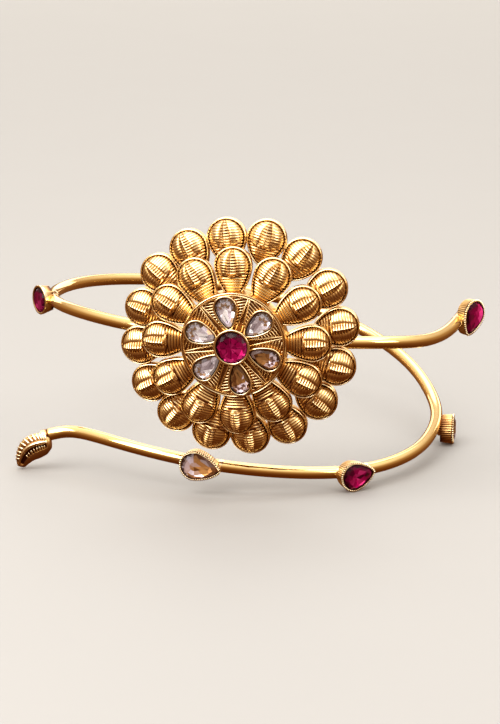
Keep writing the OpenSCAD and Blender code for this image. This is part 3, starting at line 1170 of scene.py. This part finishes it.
# %% Cut stone
def cut_stone(name, shape, inset, girdle, table, culet):
    """A faceted stone with its girdle at a height, and its table and culet above and below."""
    stone = turned(name, shape, [(girdle + culet, inset), (girdle + table, inset)], 48)
    for facets, sign in ((CROWN, 1), (PAVILION, -1)):
        for count, angle, height, half in facets:
            lean = math.radians(angle)
            for k in range(count):
                turn = 2 * math.pi * (k + half / 2) / count
                point = support(turn, shape, inset) * ray(turn) + Vector((0, 0, girdle + height))
                grind(stone, point, ray(turn) * math.sin(lean) + Vector((0, 0, sign * math.cos(lean))))
    with editing(stone, first="SELECT"):
        bpy.ops.mesh.remove_doubles(threshold=STONE_DOUBLES)
        bpy.ops.mesh.dissolve_limited(angle_limit=math.radians(1))
        pick(lambda p: p.z > girdle + table - 0.01)
        bpy.ops.mesh.inset(thickness=shape[1] * TABLE_BORDER)
    divide(stone, INNER_PATCHES, lambda p: from_axis(p, shape, inset) < INNER_ZONE)
    divide(stone, OUTER_PATCHES, lambda p: from_axis(p, shape, inset) > INNER_ZONE and p.z > girdle)
    tidy_normals(stone)
    return stone


# %% [markdown]
# The last cuts above take nothing off. They only divide the front into the patches of the back
# facets that show through it, so that each small face can carry its own foil direction. Foil lies
# hollow under the stone: its direction leans towards the middle, more so near the rim. No two
# patches are alike, so a fixed chance number also turns each a little and picks its shade.

# %% Foil sizes
# From the axis, 0, to the outline, 1, there are four zones. Each has its own lean of the foil
ZONE_EDGES = (INNER_ZONE, 0.62, 0.82)
ZONE_LEANS = (6, 15, 24, 32)
RIM_SHADE_FROM = 0.92
# What chance does to a patch: it adds up to so many degrees to the lean, turns the direction by up
# to half of so many radians either way, and picks one of the steps of shade
CHANCE_LEAN, CHANCE_SWING = 8, 0.7
SHADE_STEPS = (-0.4, 0.0, 0.05, 0.5)
# Columns: middle shade, contrast between the patches, how much lighter the round end is, and the
# painted light on the lower right side, where light from above left would shine out of the foil
SHADES = {
    "ruby": (0.44, 0.5, 0.0, 0.28),
    "clear_stone": (0.5, 1.0, 0.0, 0.0),
    "champagne_stone": (0.54, 0.9, 0.3, 0.0),
}


# %% Foil under a stone
def patch_of(out, turn, seed):
    """Zone of a face, and two chance numbers that all faces of its patch share."""
    patches = INNER_PATCHES if out < INNER_ZONE else OUTER_PATCHES
    patch = math.floor((turn / (2 * math.pi) - 0.25) * patches - PATCH_START) % patches
    zone = sum(out > edge for edge in ZONE_EDGES)
    where = Vector((patch + 0.5, zone * 3.7 + 0.5, seed * 5.3 + 0.5))
    return zone, noise.cell(where), noise.cell(where + Vector((40, 7, 11)))


def lay_foil(stone, shape, inset, place, seed, kind, lift):
    """Writes the foil's direction, its shade and the rim's painted shadow on every face of a stone."""
    standing = place.to_3x3().normalized()
    base, contrast, round_end, painted_glow = SHADES[kind]
    foil, shade, rim = [], [], []
    for face in stone.data.polygons:
        out = from_axis(face.center, shape, inset)
        turn = math.atan2(face.center.y, face.center.x)
        zone, chance, swing = patch_of(out, turn, seed)
        turn += CHANCE_SWING * (swing - 0.5)
        lean = math.radians(ZONE_LEANS[zone] + CHANCE_LEAN * chance)
        flat = -math.sin(lean)
        direction = Vector((flat * math.cos(turn), flat * math.sin(turn), math.cos(lean)))
        foil.extend((standing @ direction + Vector((0, 0, lift))).normalized())
        step = SHADE_STEPS[int(swing * 3.99)] if zone else 0.5 * chance
        across = standing @ ray(turn)
        # On the rubies the lower right side is painted lighter, as painted light
        lighter = round_end * math.cos(turn) + painted_glow * out * (across.x - across.z)
        shade.append(base + contrast * step + lighter)
        # Steep faces and the outer rim get a painted shadow and reflection of the collet
        rim.append(0.9 if face.normal.z < 0.5 or out > RIM_SHADE_FROM else 0.0)
    for key, values in (("shade", shade), ("rim", rim)):
        stone.data.attributes.new(key, "FLOAT", "FACE").data.foreach_set("value", values)
    stone.data.attributes.new("foil", "FLOAT_VECTOR", "FACE").data.foreach_set("vector", foil)


def set_stone(stone, shape, inset, place, kind, node, seed, lift=0.0):
    """Lays the foil and puts the stone in its collet."""
    lay_foil(stone, shape, inset, place, seed, kind, lift)
    finished(stone, place, STONES[kind], kind, node)


# %% Stones on the disc
CENTRE_INSET, PEAR_INSET = 0.6, 0.55
CLEAR_STONES = 4
centre_ruby = cut_stone(
    "centre_ruby_cut", CENTRE, CENTRE_INSET, girdle=CENTRE_DEPTH - 0.25, table=0.7, culet=-0.9
)
set_stone(centre_ruby, CENTRE, CENTRE_INSET, CENTRE_PLACE, "ruby", "centre_ruby", 0)
pear_model = cut_stone("pear_cut", PEAR, PEAR_INSET, girdle=PEAR_DEPTH - 0.3, table=0.55, culet=-0.6)
for i, place in enumerate(PEAR_PLACES):
    stone = copied(pear_model, f"disc_stone_{i + 1}_cut")
    kind = "clear_stone" if i < CLEAR_STONES else "champagne_stone"
    set_stone(stone, PEAR, PEAR_INSET, place, kind, f"disc_stone_{i + 1}", i + 1)
bpy.data.objects.remove(pear_model)
print("disc stones:", made["disc_stone_1_cut"], "triangles each")

# %% [markdown]
# ## Collets along the wire
#
# Five collets sit on the wire and face out of the coil. Where each one stands, how it is turned and
# how large it is comes from the imported model. Lumps of solder run from under each collet onto the
# wire.

# %% Places along the wire
# Columns: place round the coil, turn of the face, distance outside the wire, roll of the point,
# length, width, depth, whether it stands on the floor, grains of its milled rim, how much painted
# shade darkens its foot, how far the foil leans up, stone
BAND_STONES = {
    "left_ruby": (-175, 24, 0.95, 0, 6.1, 6.1, 2.3, False, 0, 0.15, -0.35, "ruby"),
    "upper_end_ruby": (-19, -28, 0.85, 243, 7.7, 6.3, 2.4, False, 46, 0.15, 0.35, "ruby"),
    "front_ruby": (-419.5, 0, 0.35, 8, 7.6, 6.1, 2.9, True, 46, 0.15, 0.0, "ruby"),
    "front_champagne": (-462, 0, 0.35, -11, 8.5, 6.2, 2.9, False, 48, 0.15, 0.0, "champagne_stone"),
    # The side collet lies against the table, so more painted shade darkens its foot
    "side_stone": (-366.8, 0, 0.9, 0, 6.2, 6.2, 2.8, True, 40, 0.7, 0.0, "champagne_stone"),
}


def on_wire(angle, turn, away, roll, length, width, grounded):
    """Place of a collet on the wire."""
    at = row_at(angle)
    heading = wire_heading(at)
    facing = math.atan2(heading.x, -heading.y) + math.radians(turn)
    middle = wire_point(at) + away * ray(facing)
    longer = (length - width) / 2
    roll = math.radians(roll)
    if grounded:
        middle.z = width / 2 + longer * math.sin(roll)
    return (
        Matrix.Translation(middle)
        @ Matrix.Rotation(facing + math.pi / 2, 4, "Z")
        @ rotation(90, "X")
        @ Matrix.Rotation(roll + math.pi, 4, "Z")
        @ Matrix.Translation((longer, 0, 0))
    )


def further(at, distance):
    """Row number that lies some millimetres further along the wire."""
    ahead = min(at + ROW_STEP, LAST_ROW)
    speed = (wire_point(ahead) - wire_point(ahead - ROW_STEP)).length / ROW_STEP
    return max(0.0, min(float(LAST_ROW), at + distance / speed))


# %% Solder
SOLDER_R = 1.5
SOLDER_BUMPS, SOLDER_TAPER, SOLDER_LONGER = 0.1, 0.16, 0.5


def solder(name, first, last, seed):
    """A lump that wraps the wire between two of its rows, uneven as melted metal is."""
    start, end = wire_point(first), wire_point(last)
    run = end - start
    lump = ball(name, 32, 24)
    for point in lump.data.vertices:
        bump = 1 + SOLDER_BUMPS * noise.noise(point.co * 1.3 + Vector((seed, 0, 0)))
        taper = 1 - SOLDER_TAPER * (point.co.z + 1)
        point.co.x *= SOLDER_R * taper * bump
        point.co.y *= SOLDER_R * taper * bump
        point.co.z *= run.length / 2 + SOLDER_LONGER
    mark_recess(lump, lambda p: 0.05 + 0.3 * noise.noise(p * 0.9))
    lump.data.transform(Matrix.Translation((start + end) / 2) @ laid_along(run))
    return lump


def bridge(first, last):
    """A rough lump that fills the gap between the wire and a collet's back."""
    lump = bar_between("lump", first, last, 1.15, tall=1.25, sides=24)
    modified(lump, "SUBSURF", levels=1, render_levels=1)
    for point in lump.data.vertices:
        point.co += 0.16 * noise.noise_vector(point.co * 1.4)
    mark_recess(lump, lambda p: 0.05 + 0.35 * noise.noise(p * 1.4))
    return lump


# %% Collets, stones and solder on the wire
BAND_INSET, BAND_WALL = 0.58, 0.45
FLAT_SIDES = 8
# Solder runs from this share of the collet's length to a little past its edge
SOLDER_FROM, SOLDER_PAST = 0.3, 1.3
SIDE_CONTACT = Vector((-0.9, 0.6, 0.1))
lumps = []
for name, row in BAND_STONES.items():
    angle, turn, away, roll, length, width, depth, grounded, grains, foot_shade, lift, kind = row
    shape = (length, width, PEAR_POWER)
    place = on_wire(angle, turn, away, roll, length, width, grounded)
    flat_sides = 0 if grains else FLAT_SIDES
    cup = collet(name + "_collet", shape, depth, BAND_WALL, grains, flat_sides, foot_shade)
    gilded(cup, place, "band")
    stone = cut_stone(name + "_cut", shape, BAND_INSET, girdle=depth - 0.3, table=0.65, culet=-0.8)
    set_stone(stone, shape, BAND_INSET, place, kind, name, len(lumps) + 7, lift)
    at = row_at(angle)
    if name == "side_stone":
        lumps.append(bridge(wire_point(at), place @ SIDE_CONTACT))
        continue
    # The collet on the wire's upper end has wire on one side only
    for side in (1, -1) if angle < ROUTE[0][0] else (1,):
        first = further(at, side * SOLDER_FROM * length)
        last = further(at, side * (length / 2 + SOLDER_PAST))
        lumps.append(solder("lump", first, last, len(lumps) * 3.1))
solder_lumps = joined("solder", lumps)
smooth(solder_lumps, 60)
print("solder:", gilded(solder_lumps, Matrix(), "band"), "triangles, stones:", len(BAND_STONES))

# %% [markdown]
# ## The leaf
#
# The wire's lower end runs out into a thick curled leaf, cast and then chased: a smooth border, a
# bright midrib that follows the curl, and short bars across both flanks. Its form is a ball that is
# pulled along the leaf's middle line, so its two poles become the leaf's two ends.

# %% Leaf form
# Columns: place along and height of the middle line, half width, half thickness
LEAF = [
    (1.4, 5.9, 1.2, 0.9), (0.5, 5.8, 2.2, 1.3), (-0.4, 5.6, 2.6, 1.5), (-1.8, 5.2, 2.8, 1.6),
    (-3.3, 4.2, 2.7, 1.5), (-4.3, 2.7, 2, 1.3), (-4.8, 1.4, 1.4, 1), (-5, 0.5, 0.8, 0.6),
]
LEAF_LAST = len(LEAF) - 1
LEAF_TURN = math.radians(-100)
LEAF_OFFSET = Vector((0.5, -0.5, 0))
LEAF_ROOT = wire_end + LEAF_OFFSET


def leaf_point(at, side, front):
    """A point of the leaf: along it, across it and out of its face, as shares of its size."""
    at = max(0.0, min(float(LEAF_LAST), at))
    along, height, half_w, half_t = table_value(LEAF, at)
    ahead = table_value(LEAF, min(at + ROW_STEP / 2, LEAF_LAST))
    behind = table_value(LEAF, max(at - ROW_STEP / 2, 0))
    run = Vector((ahead[0] - behind[0], ahead[1] - behind[1])).normalized()
    along -= run.y * side * half_w
    height += run.x * side * half_w
    across = Vector((-math.sin(LEAF_TURN), math.cos(LEAF_TURN), 0))
    flat = Vector((LEAF_ROOT.x, LEAF_ROOT.y, height))
    return flat + along * across + front * half_t * ray(LEAF_TURN)


def from_pole(point):
    """How far a point of a ball lies from its upper pole, 0, to the lower one, 1."""
    return math.acos(max(-1.0, min(1.0, point.z))) / math.pi


def at_pole(point):
    """Whether a point of a ball is one of its two poles."""
    return abs(point.z) > 0.9999


# %% Leaf body
# Columns: the two sunk flanks' lower and upper edge, as shares of the half width, and their depth
FLANKS = [(-0.08, 0.42, 0.34), (-0.86, -0.3, 0.2)]
FLANK_EDGE = 0.08
FLANKS_FROM, FLANKS_TO = 0.7, LEAF_LAST - 0.5
BACK_EDGE = 0.86


def leaf_form(spot):
    """New place of a point of a ball on the leaf, and how dark it is painted: browner on the lower
    half as painted shade, and darker in the sunk flanks, partly age and partly painted shade.
    """
    at = from_pole(spot) * LEAF_LAST
    turn = math.atan2(spot.y, spot.x)
    side, front = (0.0, 0.0) if at_pole(spot) else (math.cos(turn), math.sin(turn))
    # The lower half is browner as painted shade; the sunk flanks are darker, partly age and partly
    # painted shade
    sunk, brown = 0.0, 0.3 if side < 0 else 0.5
    ends = clamped(min((at - FLANKS_FROM) / 0.3, (FLANKS_TO - at) / 0.5))
    for low, high, depth in FLANKS:
        if front > 0 and low < side < high:
            share = ends * min(1.0, (side - low) / FLANK_EDGE, (high - side) / FLANK_EDGE)
            sunk, brown = depth * share, max(brown, (0.95 if side > -0.2 else 0.75) * share)
    return leaf_point(at, side * (BACK_EDGE if side < 0 else 1.0), front * (1 - sunk)), brown


body = ball("leaf_body", 72, 56)
marks = []
for point in body.data.vertices:
    point.co, brown = leaf_form(point.co)
    marks.append(brown)
write_recess(body, marks)
smooth(body, 50)
print("leaf's body:", triangles(body), "triangles")

# %% Leaf relief
MIDRIB_POINTS = 30
UPPER_BARS, LOWER_BARS = 12, 8
# How much blunter than a ball's a ridge's ends are
BLUNTNESS = 0.6


def ridge(name, places, radius, last_radius, sides=10):
    """A round ridge through points, from one radius to another."""
    bar = ball(name, sides, 2 * len(places))
    steps = len(places) - 1
    for point in bar.data.vertices:
        share = from_pole(point.co) * steps
        k = min(int(share), steps - 1)
        middle = places[k].lerp(places[k + 1], share - k)
        run = (places[k + 1] - places[k]).normalized()
        u = run.cross(Vector((0, 1, 0))).normalized()
        v = run.cross(u)
        thick = radius + (last_radius - radius) * share / steps
        round_share = 0 if at_pole(point.co) else math.hypot(point.co.x, point.co.y) ** -BLUNTNESS
        point.co = middle + thick * round_share * (point.co.x * u + point.co.y * v)
    return bar


path = [leaf_point(0.45 + 6.2 * k / MIDRIB_POINTS, -0.2, 0.92) for k in range(MIDRIB_POINTS + 1)]
relief = [ridge("midrib", path, 0.5, 0.24, 14)]
for i in range(UPPER_BARS):
    at = 0.7 + 5.2 * i / UPPER_BARS
    path = [leaf_point(at + 0.1 * k, -0.36 - 0.14 * k, 0.8 - 0.15 * k) for k in range(5)]
    relief.append(ridge("tooth", path, 0.22, 0.24))
for i in range(LOWER_BARS):
    at = 1.4 + 3.6 * i / LOWER_BARS
    path = [leaf_point(at + 0.04 * k, 0.08 + 0.1 * k, 0.7) for k in range(4)]
    relief.append(ridge("lower_tooth", path, 0.2, 0.16))
relief = joined("relief", relief)
# The midrib and bars are painted pale all over, as wear and a painted highlight
mark_recess(relief, lambda p: 0.0)
smooth(relief, 60)
print("leaf:", gilded(joined("leaf", [body, relief]), Matrix(), "band"), "triangles")

# %% [markdown]
# ## Behind the flower
#
# What holds the flower doesn't show in the photograph. A short post and a round pad of solder on
# the wire are the plainest way to fasten it, so both are modelled plainly, with softened edges.

# %% Post and pad
POST_R, POST_BACK, POST_FRONT = 2.4, -0.2, 6.1
PAD_R, PAD_DEPTH = 3.2, 2.0


def round_block(name, radius, low, high, edge):
    """A short upright cylinder with softened edges."""
    bpy.ops.mesh.primitive_cylinder_add(
        vertices=48, radius=radius, depth=high - low, location=(0, 0, (low + high) / 2)
    )
    block = named(name)
    bpy.ops.object.transform_apply(location=True)
    modified(block, "BEVEL", width=edge, segments=3, limit_method="ANGLE")
    mark_recess(block, lambda p: 0.35)
    smooth(block, 40)
    return block


gilded(round_block("post", POST_R, POST_BACK, POST_FRONT, 0.15), IN_FLOWER, "flower")
gilded(round_block("pad", PAD_R, POST_BACK - PAD_DEPTH, POST_BACK, 0.3), IN_FLOWER, "band")
print("post and pad:", made["post"] + made["pad"], "triangles")

# %% [markdown]
# ## Floor and surroundings
#
# The floor is a pale, slightly warm sweep with hardly any texture, so that nothing competes with
# the jewel. The world is nearly white overhead and a deep brown towards the ground. Only the jewel
# mirrors it, and its lower sides take on that brown, which gives the relief its warm shadows.

# %% Floor material and world
PALE, LESS_PALE = (0.315, 0.308, 0.3, 1), (0.295, 0.288, 0.28, 1)
paper = Shader("pale_floor", Roughness=0.7)
paper_place = paper.node("ShaderNodeTexCoord", out=3)
cloud = paper.node("ShaderNodeTexNoise", Vector=paper_place, Scale=30.0, Detail=3.0)
paper.feed(Base_Color=paper.mix(cloud * 0.3, PALE, LESS_PALE))
floor.data.materials.append(paper.material)

world = bpy.data.worlds.new("studio")
bpy.context.scene.world = world
world.use_nodes = True
sky = world.node_tree.nodes
# Columns: height of the direction from -1, straight down, to 1, and the colour there
SKY = [
    (-0.8, (0.11, 0.03, 0.006)), (-0.25, (0.24, 0.1, 0.034)),
    (0.2, (0.55, 0.34, 0.17)), (0.8, (1.6, 1.55, 1.47)),
]
ramp = sky.new("ShaderNodeValToRGB")
ramp.color_ramp.elements.new(0.3)
ramp.color_ramp.elements.new(0.6)
for element, (up, colour) in zip(ramp.color_ramp.elements, SKY):
    element.position, element.color = (up + 1) / 2, (*colour, 1)
direction, height, half = (
    sky.new("ShaderNodeTexCoord"), sky.new("ShaderNodeSeparateXYZ"), sky.new("ShaderNodeMapRange")
)
half.inputs["From Min"].default_value = -1
world.node_tree.links.new(direction.outputs["Generated"], height.inputs[0])
world.node_tree.links.new(height.outputs["Z"], half.inputs["Value"])
world.node_tree.links.new(half.outputs[0], ramp.inputs[0])
world.node_tree.links.new(ramp.outputs[0], sky["Background"].inputs["Color"])
sky["Background"].inputs["Strength"].default_value = 0.9
bpy.context.scene.view_settings.view_transform = "Standard"
print("floor and world ready")

# %% [markdown]
# ## Closing
#
# The script ends by counting the triangles of all the pieces.

# %% Triangles and the end
print("triangles in all:", sum(made.values()))
